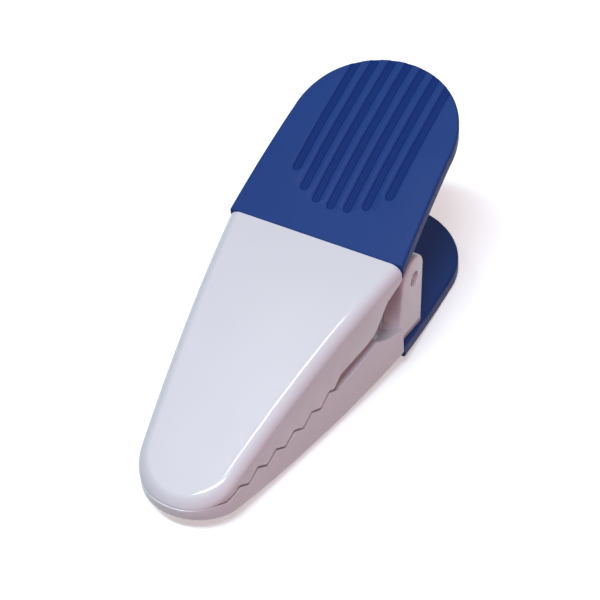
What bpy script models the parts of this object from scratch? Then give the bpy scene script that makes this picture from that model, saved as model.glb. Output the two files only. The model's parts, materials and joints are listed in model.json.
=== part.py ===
"""Sprung bag clip with white toothed jaws and blue grips, lying on its lower lever.

Everything is designed in the clip's own frame, in millimetres: the nose at x = 0, the handles
towards +X, the two levers meeting on z = 0 and the pivot running along Y. One empty then tips
that frame so that the lower lever's two flats lie on the floor.
"""
import math

import bmesh
import bpy
from mathutils import Matrix, Vector

MM = 0.001                       # one millimetre in Blender's metres

# Levers: plan
LENGTH = 108.0                   # nose to the end of the handles
NOSE_RADIUS = 10.6               # plan radius of the nose
JAW_LENGTH = 62.8                # nose to the line where cover and grip meet
JAW_HALF_WIDTH = 19.5            # at that line
GRIP_ROOT_HALF_WIDTH = 19.6      # grip half width at its front
GRIP_END_HALF_WIDTH = 18.0       # grip half width where its round end starts
GRIP_END_DEPTH = 19.0            # length of the elliptical round end

# Levers: height of the outer face over the parting plane
NOSE_HEIGHT = {1: 2.4, -1: 3.0}  # upper and lower jaw
JAW_HEIGHT = 14.15               # at JAW_LENGTH
GRIP_END_HEIGHT = 23.75          # at LENGTH
CROWN = 0.0028                   # bulge of both stretches, per mm
REST_FLAT_DEPTH = 0.12           # how much of each crown is flattened where the lever lies

# Walls
WALL = 2.2                       # jaw shell
GRIP_THICKNESS = 3.7
TONGUE_THICKNESS = 2.2           # plate of the jaw moulding under the grip's root
TONGUE_END = 72.8
TONGUE_HALF_WIDTH = {1: 17.4, -1: 18.6}    # upper and lower jaw; the lower one carries the outer ears
GAP = 0.3                        # between neighbouring pieces
COVER_EDGE = 2.4                 # rounding of the jaws' outer rims
GRIP_EDGE = 0.6                  # rounding of the grip's rims

# Saw teeth along the jaws' edges
TOOTH_PITCH = 5.65
TOOTH_DEPTH = 2.0
SEAM = [(9, 0.75), (15, 0.4), (21, -0.25), (27, -0.63), (33, -0.72), (38, -0.4)]   # middle of the teeth
FIRST_WHOLE_TOOTH = 12.25        # x of its low corner
WHOLE_TEETH = 5
TOOTH_RISE = 0.53                # share of a pitch on the flank that faces the nose
FRONT_TOOTH = [(4.4, 1.05), (6.2, 0.5)]    # cut short
REAR_TOOTH = (39.4, -0.45)                 # cut short
SOLID_NOSE = 15.0                # the jaws are hollow behind this x

# Pivot
PIVOT_X = 69.8
PIVOT_Z = 3.0
PIN_RADIUS = 1.6
PIN_RECESS = 1.4                 # how far each pin end lies inside the ear's outer face
PIN_EDGE = 0.25                  # rounding of the pin's ends
BORE_RADIUS = 1.68
EAR_OUTER = 18.7                 # outer face of the lower ears
EAR_THICKNESS = 4.2              # lower ears
EAR_RADIUS = 4.9                 # round top of the lower ears
EAR_TOP_X = 69.2                 # centre of that round
EAR_TOP_Z = 4.0
EAR_FRONT_FOOT = 62.45
EAR_FRONT_KNEE_Z = -7.0          # the front edge leans back above this
EAR_REAR_FOOT = 72.6
EAR_GUSSET_X = 54.5              # the lower ears' feet thicken the side walls from here
GUSSET_DROP = 0.25               # the gussets' tops under the jaw's rim
GUSSET_OUTER = 17.5
GUSSET_THICKNESS = 3.3
GUSSET_END = 64.0                # inside the ears
INNER_EAR_THICKNESS = 3.4        # upper ears, between the lower ones
INNER_EAR_RADIUS = 4.7
INNER_EAR_REAR = 71.8            # where their rear edge meets the tongue
HUB_RADIUS = 3.4                 # bosses that keep the spring in the middle
HUB_INNER = 5.4

# Studs that hold the grips on the tongues
STUD_RADIUS = 2.0
STUD_LENGTH = 1.9
STUD_X = 68.5
STUD_Y = 8.5
STUD_SIDES = 20

# Torsion spring
WIRE_RADIUS = 0.55
COIL_RADIUS = 2.75               # to the wire's centre
COIL_TURNS = 6
COIL_PITCH = 1.3
POINTS_PER_TURN = 16
LEG_CONTACT_X = 88.0             # where the legs reach the handles
LEG_TIP = 6.0                    # length that lies along each handle

# Grip grooves
GROOVES = 7
GROOVE_PITCH = 3.52
GROOVE_WIDTH = 1.8
GROOVE_DEPTH = 0.4
GROOVE_FRONT = 69.2              # front end of the middle groove
GROOVE_FAN_RADIUS = 12.6         # the front ends lie on an arc of this radius
GROOVE_FRONT_STEPS = 6           # facets round each front end

# Lower edge of the upper cover behind the teeth, and the rim facing it
SKIRT_EDGE = [(41.6, 2.1), (51.0, 2.4), (53.6, 3.4), (55.4, 5.8), (57.6, 8.3), (JAW_LENGTH, 10.2)]
RIM_EDGE = [(40.6, -1.8), (54.2, -0.7), (57.6, -2.9), (JAW_LENGTH, -5.2)]

ARC_STEPS = 12                   # facets in a round corner of an outline
STATION_STEP = 6.0               # length of the facets along the crowned faces
EDGE_STEPS = 3                   # facets across a rounded rim
BORE_SIDES = 24                  # facets round the holes and the bosses
PIN_SIDES = 28
BELOW_TEETH = 6.0                # how far the jaws' blocks reach past the parting plane before trimming
CLEAR = 60.0                     # well outside the part, for cutters
OVERSHOOT = 2.0                  # how far a cutter passes the end it cuts


# ---------------------------------------------------------------- shape of the levers

def lerp(a, b, t):
    return a + (b - a) * t


def crowned_height(x, side):
    """Outer face of one lever over the parting plane, before its flats."""
    if x <= JAW_LENGTH:
        return lerp(NOSE_HEIGHT[side], JAW_HEIGHT, x / JAW_LENGTH) + CROWN * x * (JAW_LENGTH - x)
    along = (x - JAW_LENGTH) / (LENGTH - JAW_LENGTH)
    return lerp(JAW_HEIGHT, GRIP_END_HEIGHT, along) + CROWN * (x - JAW_LENGTH) * (LENGTH - x)


def table_line():
    """Slope and height at x = 0 of the line that touches the lower lever, moved in by its flats' depth."""
    spots = [0.5 * i for i in range(int(2 * LENGTH) + 1)]
    jaw = [x for x in spots if x < JAW_LENGTH]
    grip = [x for x in spots if x > JAW_LENGTH]
    slope = GRIP_END_HEIGHT / LENGTH
    for _ in range(20):
        x1, x2 = (max(part, key=lambda x: crowned_height(x, -1) - slope * x) for part in (jaw, grip))
        slope = (crowned_height(x2, -1) - crowned_height(x1, -1)) / (x2 - x1)
    return slope, crowned_height(x1, -1) - slope * x1 - REST_FLAT_DEPTH


TABLE_SLOPE, TABLE_HEIGHT = table_line()
TILT = math.atan(TABLE_SLOPE)


def outer_height(x, side=1):
    """Outer face over the parting plane: two crowned stretches with a flat on each."""
    return min(crowned_height(x, side), TABLE_HEIGHT + TABLE_SLOPE * x)


def jaw_half_width(x):
    """Straight taper that is tangent to the nose circle."""
    angle = taper_angle()
    x0 = NOSE_RADIUS * (1 - math.sin(angle))
    return NOSE_RADIUS * math.cos(angle) + (x - x0) * math.tan(angle)


def taper_angle():
    """Angle between the clip's axis and the side of the jaws."""
    run = JAW_LENGTH - NOSE_RADIUS
    reach = math.hypot(run, JAW_HALF_WIDTH)
    return math.atan2(JAW_HALF_WIDTH, run) - math.asin(NOSE_RADIUS / reach)


def jaw_plan(end, inset):
    """Half-open plan of a jaw, from (end, +y) round the nose to (end, -y), inset from its true edge."""
    angle = taper_angle()
    radius = NOSE_RADIUS - inset
    nose_centre = NOSE_RADIUS
    tangent = nose_centre - NOSE_RADIUS * math.sin(angle)
    sides = [(x, jaw_half_width(x) - inset / math.cos(angle)) for x in reversed(stations(tangent, end))]
    half_nose = []
    for i in range(1, ARC_STEPS + 1):
        turn = lerp(math.pi / 2 + angle, math.pi, i / ARC_STEPS)
        half_nose.append((nose_centre + radius * math.cos(turn), radius * math.sin(turn)))
    return mirrored(sides + half_nose)


def grip_plan(start, inset):
    """Half-open plan of a grip, from (start, +y) round its elliptical end to (start, -y)."""
    centre = LENGTH - GRIP_END_DEPTH
    points = []
    for x in stations(start, centre)[:-1]:
        half = lerp(GRIP_ROOT_HALF_WIDTH, GRIP_END_HALF_WIDTH, (x - JAW_LENGTH) / (centre - JAW_LENGTH))
        points.append((x, half - inset))
    for i in range(ARC_STEPS + 1):
        turn = math.pi / 2 * (1 - i / ARC_STEPS)
        across, along = GRIP_END_HALF_WIDTH * math.sin(turn), GRIP_END_DEPTH * math.cos(turn)
        normal = Vector((math.cos(turn) / GRIP_END_DEPTH, math.sin(turn) / GRIP_END_HALF_WIDTH)).normalized()
        points.append((centre + along - inset * normal.x, across - inset * normal.y))
    return mirrored(points)


def mirrored(points):
    """Half an outline and its mirror image in Y; a last point on the middle line isn't repeated."""
    repeated = points[:-1] if abs(points[-1][1]) < 1e-6 else points
    return points + [(x, -y) for x, y in reversed(repeated)]


def stations(start, end):
    """x of the facets' edges along the crowned faces, with one at JAW_LENGTH if it is between."""
    marks = [start] + ([JAW_LENGTH] if start < JAW_LENGTH < end else []) + [end]
    xs = []
    for a, b in zip(marks, marks[1:]):
        steps = max(2, round((b - a) / STATION_STEP))
        xs += [lerp(a, b, i / steps) for i in range(steps)]
    return xs + [end]


def rounded_levels(side, depth, radius, rising):
    """Levels of a quarter-round rim of the outer (depth 0) or the inner face of a lever's plate."""
    levels = []
    for i in range(EDGE_STEPS + 1):
        turn = math.pi / 2 * i / EDGE_STEPS
        inset, sink = radius * (1 - math.sin(turn)), radius * (1 - math.cos(turn))
        offset = depth - sink if rising else depth + sink
        levels.append((inset, lambda x, offset=offset: side * (outer_height(x, side) - offset)))
    return list(reversed(levels)) if rising else levels


def band_profile(start, end, depth, bottom_depth):
    """Side outline between two lines that follow the outer face at these depths."""
    xs = stations(start, end)
    top = [(x, outer_height(x) - depth) for x in xs]
    return top + [(x, outer_height(x) - bottom_depth) for x in reversed(xs)]


def seam_height(x):
    """Middle of the teeth at x."""
    for (x1, z1), (x2, z2) in zip(SEAM, SEAM[1:]):
        if x <= x2:
            break
    return lerp(z1, z2, (x - x1) / (x2 - x1))


def tooth_line(shift):
    """Zigzag along which the jaws meet, moved up by shift, from the front to the last tooth."""
    points = list(FRONT_TOOTH)
    for i in range(-1, WHOLE_TEETH):
        low = FIRST_WHOLE_TOOTH + i * TOOTH_PITCH
        high = low + TOOTH_PITCH * TOOTH_RISE
        if i >= 0:
            points.append((low, seam_height(low) - TOOTH_DEPTH / 2))
        points.append((high, seam_height(high) + TOOTH_DEPTH / 2))
    points.append(REAR_TOOTH)
    return [(x, z + shift) for x, z in points]


# ---------------------------------------------------------------- building blocks

def collection(name):
    made = bpy.data.collections.new(name)
    bpy.context.scene.collection.children.link(made)
    return made


def outline_solid(name, points, thickness, plane, where):
    """Flat outline, extruded evenly to both sides of its plane, as a mesh object."""
    return outlines_solid(name, [points], thickness, plane, where)


def outlines_solid(name, outlines, thickness, plane, where):
    """The same for several separate outlines in one plane, as one mesh object."""
    curve = bpy.data.curves.new(name, "CURVE")
    curve.dimensions = "2D"
    curve.fill_mode = "BOTH"
    curve.extrude = thickness / 2 * MM
    for points in outlines:
        spline = curve.splines.new("POLY")
        spline.points.add(len(points) - 1)
        for point, (u, v) in zip(spline.points, points):
            point.co = (u * MM, v * MM, 0, 1)
        spline.use_cyclic_u = True
    drawn = bpy.data.objects.new(name + "_outline", curve)
    where.objects.link(drawn)
    mesh = bpy.data.meshes.new_from_object(drawn.evaluated_get(bpy.context.evaluated_depsgraph_get()))
    bpy.data.objects.remove(drawn)
    tidy_mesh(mesh)
    mesh.transform(plane)
    solid = bpy.data.objects.new(name, mesh)
    where.objects.link(solid)
    return solid


def slab(name, plan, levels, where):
    """Closed slab whose rim follows plan(inset) at each level's (inset, height(x))."""
    mesh = bpy.data.meshes.new(name)
    bm = bmesh.new()
    rows = []
    for inset, height in levels:
        rows.append([bm.verts.new((x * MM, y * MM, height(x) * MM)) for x, y in plan(inset)])
    for upper, lower in zip(rows, rows[1:]):
        for i in range(len(upper) - 1):
            bm.faces.new((upper[i], upper[i + 1], lower[i + 1], lower[i]))
    for row in (rows[0], rows[-1]):
        for i in range((len(row) - 1) // 2):
            j = len(row) - 1 - i
            bm.faces.new(dict.fromkeys((row[i], row[i + 1], row[j - 1], row[j])))
    bm.faces.new([row[0] for row in rows] + [row[-1] for row in reversed(rows)])
    bmesh.ops.recalc_face_normals(bm, faces=bm.faces)
    bm.to_mesh(mesh)
    bm.free()
    solid = bpy.data.objects.new(name, mesh)
    where.objects.link(solid)
    return solid


def tidy_mesh(mesh):
    """Weld the caps, merge coplanar faces and point every face outwards."""
    bm = bmesh.new()
    bm.from_mesh(mesh)
    bmesh.ops.remove_doubles(bm, verts=bm.verts, dist=1e-6)
    bmesh.ops.dissolve_limit(bm, angle_limit=math.radians(0.05), verts=bm.verts, edges=bm.edges)
    bmesh.ops.recalc_face_normals(bm, faces=bm.faces)
    bm.to_mesh(mesh)
    bm.free()


def plan_plane(z):
    """Outline drawn in plan, at height z."""
    return Matrix.Translation((0, 0, z * MM))


def side_plane(y):
    """Outline drawn from the side, its second coordinate upwards, at this y."""
    return Matrix.Translation((0, y * MM, 0)) @ Matrix.Rotation(math.pi / 2, 4, "X")


def flipped(points, side):
    """Side outline of the upper (side = 1) or the lower lever (side = -1)."""
    return [(x, side * z) for x, z in points]


def cutter(solid):
    solid.hide_render = True
    solid.display_type = "WIRE"
    return solid


def boolean(piece, operation, other):
    step = piece.modifiers.new(operation.lower() + "_" + other.name, "BOOLEAN")
    step.operation = operation
    step.object = other


def cross_cylinder(name, radius, y_low, y_high, where, sides=BORE_SIDES):
    """Cylinder along Y on the pivot's axis."""
    mesh = bpy.data.meshes.new(name)
    bm = bmesh.new()
    turn = Matrix.Rotation(math.pi / 2, 4, "X")
    place = Matrix.Translation(Vector((PIVOT_X, (y_low + y_high) / 2, PIVOT_Z)) * MM)
    bmesh.ops.create_cone(bm, cap_ends=True, segments=sides, radius1=radius * MM, radius2=radius * MM,
                          depth=(y_high - y_low) * MM, matrix=place @ turn)
    bm.to_mesh(mesh)
    bm.free()
    solid = bpy.data.objects.new(name, mesh)
    where.objects.link(solid)
    return solid


def plastic(name, colour, roughness):
    material = bpy.data.materials.new(name)
    material.use_nodes = True
    shader = material.node_tree.nodes["Principled BSDF"]
    shader.inputs["Base Color"].default_value = (*colour, 1)
    shader.inputs["Roughness"].default_value = roughness
    return material


def steel(name):
    material = plastic(name, (0.62, 0.61, 0.6), 0.3)
    material.node_tree.nodes["Principled BSDF"].inputs["Metallic"].default_value = 1.0
    return material


# ---------------------------------------------------------------- the jaws

def jaw(name, side, cutters, parts):
    """Hollow toothed jaw with the tongue plate under its grip, before its ears."""
    levels = rounded_levels(side, 0, COVER_EDGE, rising=False) + [(0, lambda x: -side * BELOW_TEETH)]
    block = slab(name, lambda inset: jaw_plan(JAW_LENGTH, inset), levels, parts)
    edge = jaw_edge(side)
    front, rear = -OVERSHOOT, JAW_LENGTH + OVERSHOOT
    outline = [(front, CLEAR), (front, edge[0][1])] + edge + [(rear, edge[-1][1]), (rear, CLEAR)]
    trim = outline_solid(name + "_trim", flipped(outline, side), CLEAR, side_plane(0), cutters)
    boolean(block, "INTERSECT", cutter(trim))
    boolean(block, "DIFFERENCE", cavity(name, side, cutters))
    boolean(block, "UNION", tongue(name, side, cutters))
    return block


def jaw_edge(side):
    """The edge that faces the other jaw, as heights towards this jaw's own side."""
    shift = GAP / 2
    if side > 0:
        return tooth_line(shift) + SKIRT_EDGE
    meeting = [(x, -z) for x, z in tooth_line(-shift)]
    return meeting + [(x, -z) for x, z in RIM_EDGE]


def cavity(name, side, cutters):
    """Cutter for the hollow inside a jaw, open towards the other jaw."""
    def plan(inset):
        xs = reversed(stations(SOLID_NOSE, JAW_LENGTH - WALL))
        return mirrored([(x, jaw_half_width(x) - inset / math.cos(taper_angle())) for x in xs])

    roof = (WALL, lambda x: side * (outer_height(x, side) - WALL))
    mouth = (WALL, lambda x: -side * BELOW_TEETH)
    return cutter(slab(name + "_cavity", plan, [roof, mouth], cutters))


def tongue(name, side, cutters):
    """Plate that runs back under the grip's root and carries the ears."""
    top = GRIP_THICKNESS + GAP
    profile = band_profile(JAW_LENGTH - WALL / 2, TONGUE_END, top, bottom_depth=top + TONGUE_THICKNESS)
    plate = outline_solid(name + "_tongue", flipped(profile, side), 2 * TONGUE_HALF_WIDTH[side],
                          side_plane(0), cutters)
    for y in (-STUD_Y, STUD_Y):
        boolean(plate, "UNION", stud(name, side, y, STUD_RADIUS, STUD_LENGTH, cutters))
    return cutter(plate)


def stud(name, side, y, radius, length, cutters):
    """Round stud that stands from the tongue into the grip; larger ones cut the sockets."""
    foot = tongue_middle(STUD_X)
    tall = TONGUE_THICKNESS / 2 + GAP + length
    label = "left" if y > 0 else "right"
    kind = "stud" if radius == STUD_RADIUS else "socket"
    mesh = bpy.data.meshes.new(f"{name}_{kind}_{label}")
    bm = bmesh.new()
    place = Matrix.Translation(Vector((STUD_X, y, side * (foot + tall / 2))) * MM)
    bmesh.ops.create_cone(bm, cap_ends=True, segments=STUD_SIDES, radius1=radius * MM,
                          radius2=radius * MM, depth=tall * MM, matrix=place)
    bm.to_mesh(mesh)
    bm.free()
    solid = bpy.data.objects.new(mesh.name, mesh)
    cutters.objects.link(solid)
    return cutter(solid)


def ear_outline():
    """Side view of a lower ear: it stands in the tongue and is round at the top."""
    points = [(EAR_REAR_FOOT, -tongue_middle(EAR_REAR_FOOT))]
    for i in range(ARC_STEPS + 1):
        turn = math.pi * i / ARC_STEPS
        points.append((EAR_TOP_X + EAR_RADIUS * math.cos(turn), EAR_TOP_Z + EAR_RADIUS * math.sin(turn)))
    return points + [(EAR_FRONT_FOOT, EAR_FRONT_KNEE_Z), (EAR_FRONT_FOOT, -tongue_middle(EAR_FRONT_FOOT))]


def tongue_middle(x):
    """Height of the tongue's middle over the parting plane."""
    return outer_height(x) - GRIP_THICKNESS - GAP - TONGUE_THICKNESS / 2


def gusset_outline():
    """Foot that runs forward from inside a lower ear along the jaw's side wall, just below its rim."""
    rim = [(EAR_GUSSET_X, RIM_EDGE[1][1])] + [point for point in RIM_EDGE if point[0] > EAR_GUSSET_X]
    top = [(x, z - GUSSET_DROP) for x, z in rim] + [(GUSSET_END, RIM_EDGE[-1][1] - GUSSET_DROP)]
    heel = JAW_LENGTH - WALL / 2
    foot = [(x, -tongue_middle(x)) for x in (GUSSET_END, heel)]
    return top + foot + [(x, -outer_height(x, -1) + WALL / 2) for x in (heel, EAR_GUSSET_X)]


def inner_ear_outline():
    """Side view of an upper ear: it hangs from the tongue and is round about the pin."""
    points = [(EAR_FRONT_FOOT, tongue_middle(EAR_FRONT_FOOT))]
    for i in range(ARC_STEPS + 1):
        turn = math.pi + math.pi * i / ARC_STEPS
        points.append((PIVOT_X + INNER_EAR_RADIUS * math.cos(turn),
                       PIVOT_Z + INNER_EAR_RADIUS * math.sin(turn)))
    return points + [(INNER_EAR_REAR, tongue_middle(INNER_EAR_REAR))]


def add_lower_ears(piece, cutters):
    shapes = [
        ("ear", ear_outline(), EAR_OUTER, EAR_THICKNESS),
        ("gusset", gusset_outline(), GUSSET_OUTER, GUSSET_THICKNESS),
    ]
    for label, way in (("left", 1), ("right", -1)):
        for kind, outline, outer, thickness in shapes:
            plane = side_plane(way * (outer - thickness / 2))
            boolean(piece, "UNION", cutter(outline_solid(f"lower_{kind}_{label}", outline, thickness,
                                                         plane, cutters)))
    boolean(piece, "DIFFERENCE", bore("lower_bore", cutters))


def bore(name, cutters):
    return cutter(cross_cylinder(name, BORE_RADIUS, -CLEAR / 2, CLEAR / 2, cutters))


def add_upper_ears(piece, cutters):
    outer = EAR_OUTER - EAR_THICKNESS - GAP
    middle = outer - INNER_EAR_THICKNESS / 2
    for label, way in (("left", 1), ("right", -1)):
        ear = outline_solid(f"upper_ear_{label}", inner_ear_outline(), INNER_EAR_THICKNESS,
                            side_plane(way * middle), cutters)
        boolean(piece, "UNION", cutter(ear))
        ends = sorted((way * HUB_INNER, way * middle))
        boolean(piece, "UNION", cutter(cross_cylinder(f"hub_{label}", HUB_RADIUS, *ends, cutters)))
    boolean(piece, "DIFFERENCE", bore("upper_bore", cutters))


# ---------------------------------------------------------------- the grips

def grip(name, side, cutters, parts):
    """Grooved handle plate with rounded rims and two blind sockets for the jaw's studs."""
    start = JAW_LENGTH + GAP
    levels = (rounded_levels(side, 0, GRIP_EDGE, rising=False)
              + rounded_levels(side, GRIP_THICKNESS, GRIP_EDGE, rising=True))
    plate = slab(name, lambda inset: grip_plan(start, inset), levels, parts)
    for y in (-STUD_Y, STUD_Y):
        boolean(plate, "DIFFERENCE", stud(name, side, y, STUD_RADIUS + GAP, STUD_LENGTH + GAP, cutters))
    boolean(plate, "DIFFERENCE", grooves(name, side, cutters))
    return plate


def groove_plan(y):
    """Plan of one lengthwise groove: round at its front and running out past the handle's end."""
    front = GROOVE_FRONT + GROOVE_FAN_RADIUS - math.sqrt(GROOVE_FAN_RADIUS ** 2 - y ** 2)
    half = GROOVE_WIDTH / 2
    plan = [(LENGTH + OVERSHOOT, y + half)]
    for i in range(GROOVE_FRONT_STEPS + 1):
        turn = math.pi / 2 + math.pi * i / GROOVE_FRONT_STEPS
        plan.append((front + half + half * math.cos(turn), y + half * math.sin(turn)))
    return plan + [(LENGTH + OVERSHOOT, y - half)]


def grooves(name, side, cutters):
    """Cutter for all the grooves of a grip, with a bed that follows its crown."""
    plans = [groove_plan((number - (GROOVES - 1) / 2) * GROOVE_PITCH) for number in range(GROOVES)]
    slots = outlines_solid(name + "_grooves", plans, CLEAR, plan_plane(0), cutters)
    bed = band_profile(JAW_LENGTH, LENGTH + 2 * OVERSHOOT, -OVERSHOOT, bottom_depth=GROOVE_DEPTH)
    bed_solid = outline_solid(name + "_groove_bed", flipped(bed, side), CLEAR, side_plane(0), cutters)
    boolean(slots, "INTERSECT", cutter(bed_solid))
    return cutter(slots)


# ---------------------------------------------------------------- pin and spring

def pivot_pin(parts):
    half = EAR_OUTER - PIN_RECESS
    pin = cross_cylinder("pivot_pin", PIN_RADIUS, -half, half, parts, sides=PIN_SIDES)
    bevel = pin.modifiers.new("rounded_ends", "BEVEL")
    bevel.width = PIN_EDGE * MM
    bevel.segments = 2
    bevel.limit_method = "ANGLE"
    bevel.angle_limit = math.radians(50)
    return pin


def spring_route():
    """Centre line of the wire: lower leg, coil round the pin, upper leg."""
    centre = Vector((PIVOT_X, 0, PIVOT_Z))
    half_coil = COIL_TURNS * COIL_PITCH / 2
    reach = LEG_CONTACT_X - PIVOT_X
    touch = outer_height(LEG_CONTACT_X) - GRIP_THICKNESS - GAP - WIRE_RADIUS
    slope = (outer_height(LEG_CONTACT_X + LEG_TIP) - outer_height(LEG_CONTACT_X)) / LEG_TIP
    tip = Vector((1, 0, slope)).normalized() * LEG_TIP

    def tangent_turn(dx, dz, way):
        """Angle on the coil, from +X towards +Z, where a line to the touching point leaves it."""
        return math.atan2(dz, dx) + way * math.acos(COIL_RADIUS / math.hypot(dx, dz))

    start = tangent_turn(reach, -touch - PIVOT_Z, -1)
    end = tangent_turn(reach, touch - PIVOT_Z, 1) + 2 * math.pi * (COIL_TURNS - 1)
    steps = round((end - start) / (2 * math.pi) * POINTS_PER_TURN)
    coil = []
    for i in range(steps + 1):
        turn = lerp(start, end, i / steps)
        y = lerp(-half_coil, half_coil, i / steps)
        coil.append(centre + Vector((COIL_RADIUS * math.cos(turn), y, COIL_RADIUS * math.sin(turn))))
    low = Vector((LEG_CONTACT_X, -half_coil, -touch))
    high = Vector((LEG_CONTACT_X, half_coil, touch))
    return [low + Vector((tip.x, 0, -tip.z)), low] + coil + [high, high + tip]


def torsion_spring(parts):
    curve = bpy.data.curves.new("torsion_spring", "CURVE")
    curve.dimensions = "3D"
    curve.bevel_depth = WIRE_RADIUS * MM
    curve.bevel_resolution = 2
    curve.use_fill_caps = True
    route = spring_route()
    spline = curve.splines.new("POLY")
    spline.points.add(len(route) - 1)
    for point, place in zip(spline.points, route):
        point.co = (*(place * MM), 1)
    spring = bpy.data.objects.new("torsion_spring", curve)
    parts.objects.link(spring)
    return spring


# ---------------------------------------------------------------- assembly

def lean_on_table(parts, cutters):
    """Tip the clip on to the flats of its lower lever and centre its box over the origin."""
    attitude = bpy.data.objects.new("clip_attitude", None)
    pieces = list(parts.objects)
    for solid in pieces + list(cutters.objects):
        solid.parent = attitude
    parts.objects.link(attitude)
    attitude.rotation_euler = (0, -TILT, 0)
    bpy.context.view_layer.update()
    depsgraph = bpy.context.evaluated_depsgraph_get()
    corners = []
    for piece in pieces:
        seen = piece.evaluated_get(depsgraph)
        mesh = seen.to_mesh()
        corners += [seen.matrix_world @ vertex.co for vertex in mesh.vertices]
        seen.to_mesh_clear()
    middle = (min(c.x for c in corners) + max(c.x for c in corners)) / 2
    attitude.location = (-middle, 0, TABLE_HEIGHT * math.cos(TILT) * MM)


def main():
    for leftover in list(bpy.data.objects):
        bpy.data.objects.remove(leftover)
    parts = collection("bag_clip")
    cutters = collection("cutters")

    white = plastic("white_jaw_plastic", (0.8, 0.79, 0.82), 0.25)
    blue = plastic("blue_grip_plastic", (0.026, 0.066, 0.23), 0.45)
    metal = steel("spring_steel")

    upper_jaw = jaw("upper_jaw", 1, cutters, parts)
    add_upper_ears(upper_jaw, cutters)
    lower_jaw = jaw("lower_jaw", -1, cutters, parts)
    add_lower_ears(lower_jaw, cutters)
    pieces = [
        (upper_jaw, white),
        (lower_jaw, white),
        (grip("upper_grip", 1, cutters, parts), blue),
        (grip("lower_grip", -1, cutters, parts), blue),
        (pivot_pin(parts), metal),
        (torsion_spring(parts), metal),
    ]
    for piece, material in pieces:
        piece.data.materials.clear()
        piece.data.materials.append(material)
    lean_on_table(parts, cutters)


main()
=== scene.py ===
"""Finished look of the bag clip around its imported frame.

The visible plastic pieces, the pin and the spring are built again at full smoothness in the clip's
own frame, in millimetres: the nose at x = 0, the handles towards +X, the two levers meeting near
z = 0 and the pivot along Y. CLIP_TO_WORLD then puts them where the frame's hinge is. Heights called
h are measured from z = 0 towards a lever's own outer face.
"""
import json
import math

import bmesh
import bpy
from mathutils import Matrix, Vector


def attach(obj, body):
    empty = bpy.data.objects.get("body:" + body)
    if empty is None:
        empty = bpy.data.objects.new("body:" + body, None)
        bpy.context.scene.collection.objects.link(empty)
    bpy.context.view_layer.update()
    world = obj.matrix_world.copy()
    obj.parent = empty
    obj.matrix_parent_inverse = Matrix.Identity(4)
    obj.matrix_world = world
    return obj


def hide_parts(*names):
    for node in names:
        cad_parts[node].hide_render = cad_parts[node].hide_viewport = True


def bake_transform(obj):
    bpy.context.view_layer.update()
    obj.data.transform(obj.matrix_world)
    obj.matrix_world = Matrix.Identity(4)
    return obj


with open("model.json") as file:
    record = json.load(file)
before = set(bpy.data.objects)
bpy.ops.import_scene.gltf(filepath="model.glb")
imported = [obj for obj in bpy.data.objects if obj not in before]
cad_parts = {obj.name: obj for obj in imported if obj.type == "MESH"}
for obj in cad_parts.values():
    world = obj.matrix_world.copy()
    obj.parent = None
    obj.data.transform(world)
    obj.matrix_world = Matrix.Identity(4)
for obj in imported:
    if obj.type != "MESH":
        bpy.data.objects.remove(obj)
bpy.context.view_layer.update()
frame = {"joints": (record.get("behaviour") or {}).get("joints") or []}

MM = 0.001

# ---------------------------------------------------------------- driving dimensions, as in the frame

LENGTH = 108.0
NOSE_RADIUS = 10.6
JAW_LENGTH = 62.8
JAW_HALF_WIDTH = 19.5
GRIP_ROOT_HALF_WIDTH = 19.6
GRIP_END_HALF_WIDTH = 18.0
GRIP_END_DEPTH = 19.0
NOSE_HEIGHT = {1: 2.4, -1: 3.0}
JAW_HEIGHT = 14.15
GRIP_END_HEIGHT = 23.75
CROWN = 0.0028
REST_SLOPE = 0.17033             # line of the flats the clip lies on
REST_HEIGHT = 5.8719
WALL = 2.2
GRIP_THICKNESS = 3.7
TONGUE_THICKNESS = 2.2
TONGUE_END = 72.8
TONGUE_HALF_WIDTH = {1: 17.4, -1: 18.6}
GAP = 0.3
COVER_EDGE = 2.4
GRIP_EDGE = 0.6
SOLID_NOSE = 15.0
HOLLOW_END = JAW_LENGTH - WALL

TOOTH_PITCH = 5.65
TOOTH_DEPTH = 2.0
SEAM = [(9, 0.75), (15, 0.4), (21, -0.25), (27, -0.63), (33, -0.72), (38, -0.4)]
FIRST_WHOLE_TOOTH = 12.25
WHOLE_TEETH = 5
TOOTH_RISE = 0.53
FRONT_TOOTH = [(4.4, 1.05), (6.2, 0.5)]
REAR_TOOTH = (39.4, -0.45)
SKIRT_EDGE = [(41.6, 2.1), (51.0, 2.4), (53.6, 3.4), (55.4, 5.8), (57.6, 8.3), (JAW_LENGTH, 10.2)]
RIM_EDGE = [(40.6, -1.8), (54.2, -0.7), (57.6, -2.9), (JAW_LENGTH, -5.2)]

PIVOT_X = 69.8
PIVOT_Z = 3.0
PIN_RADIUS = 1.6
PIN_RECESS = 1.4
BORE_RADIUS = 1.68
EAR_OUTER = 18.7
EAR_THICKNESS = 4.2
EAR_RADIUS = 4.9
EAR_TOP = (69.2, 4.0)
EAR_FRONT_FOOT = 62.45
EAR_FRONT_KNEE_Z = -7.0
EAR_REAR_FOOT = 72.6
EAR_GUSSET_X = 54.5
GUSSET_DROP = 0.25
GUSSET_OUTER = 17.5
GUSSET_THICKNESS = 3.3
GUSSET_END = 64.0
INNER_EAR_THICKNESS = 3.4
INNER_EAR_RADIUS = 4.7
INNER_EAR_REAR = 71.8
HUB_RADIUS = 3.4
HUB_INNER = 5.4

WIRE_RADIUS = 0.55
COIL_RADIUS = 2.75
COIL_TURNS = 6
COIL_PITCH = 1.3
LEG_CONTACT_X = 88.0
LEG_TIP = 6.0

GROOVES = 7
GROOVE_PITCH = 3.52
GROOVE_WIDTH = 1.8
GROOVE_DEPTH = 0.4
GROOVE_FRONT = 69.2
GROOVE_FAN_RADIUS = 12.6

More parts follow.
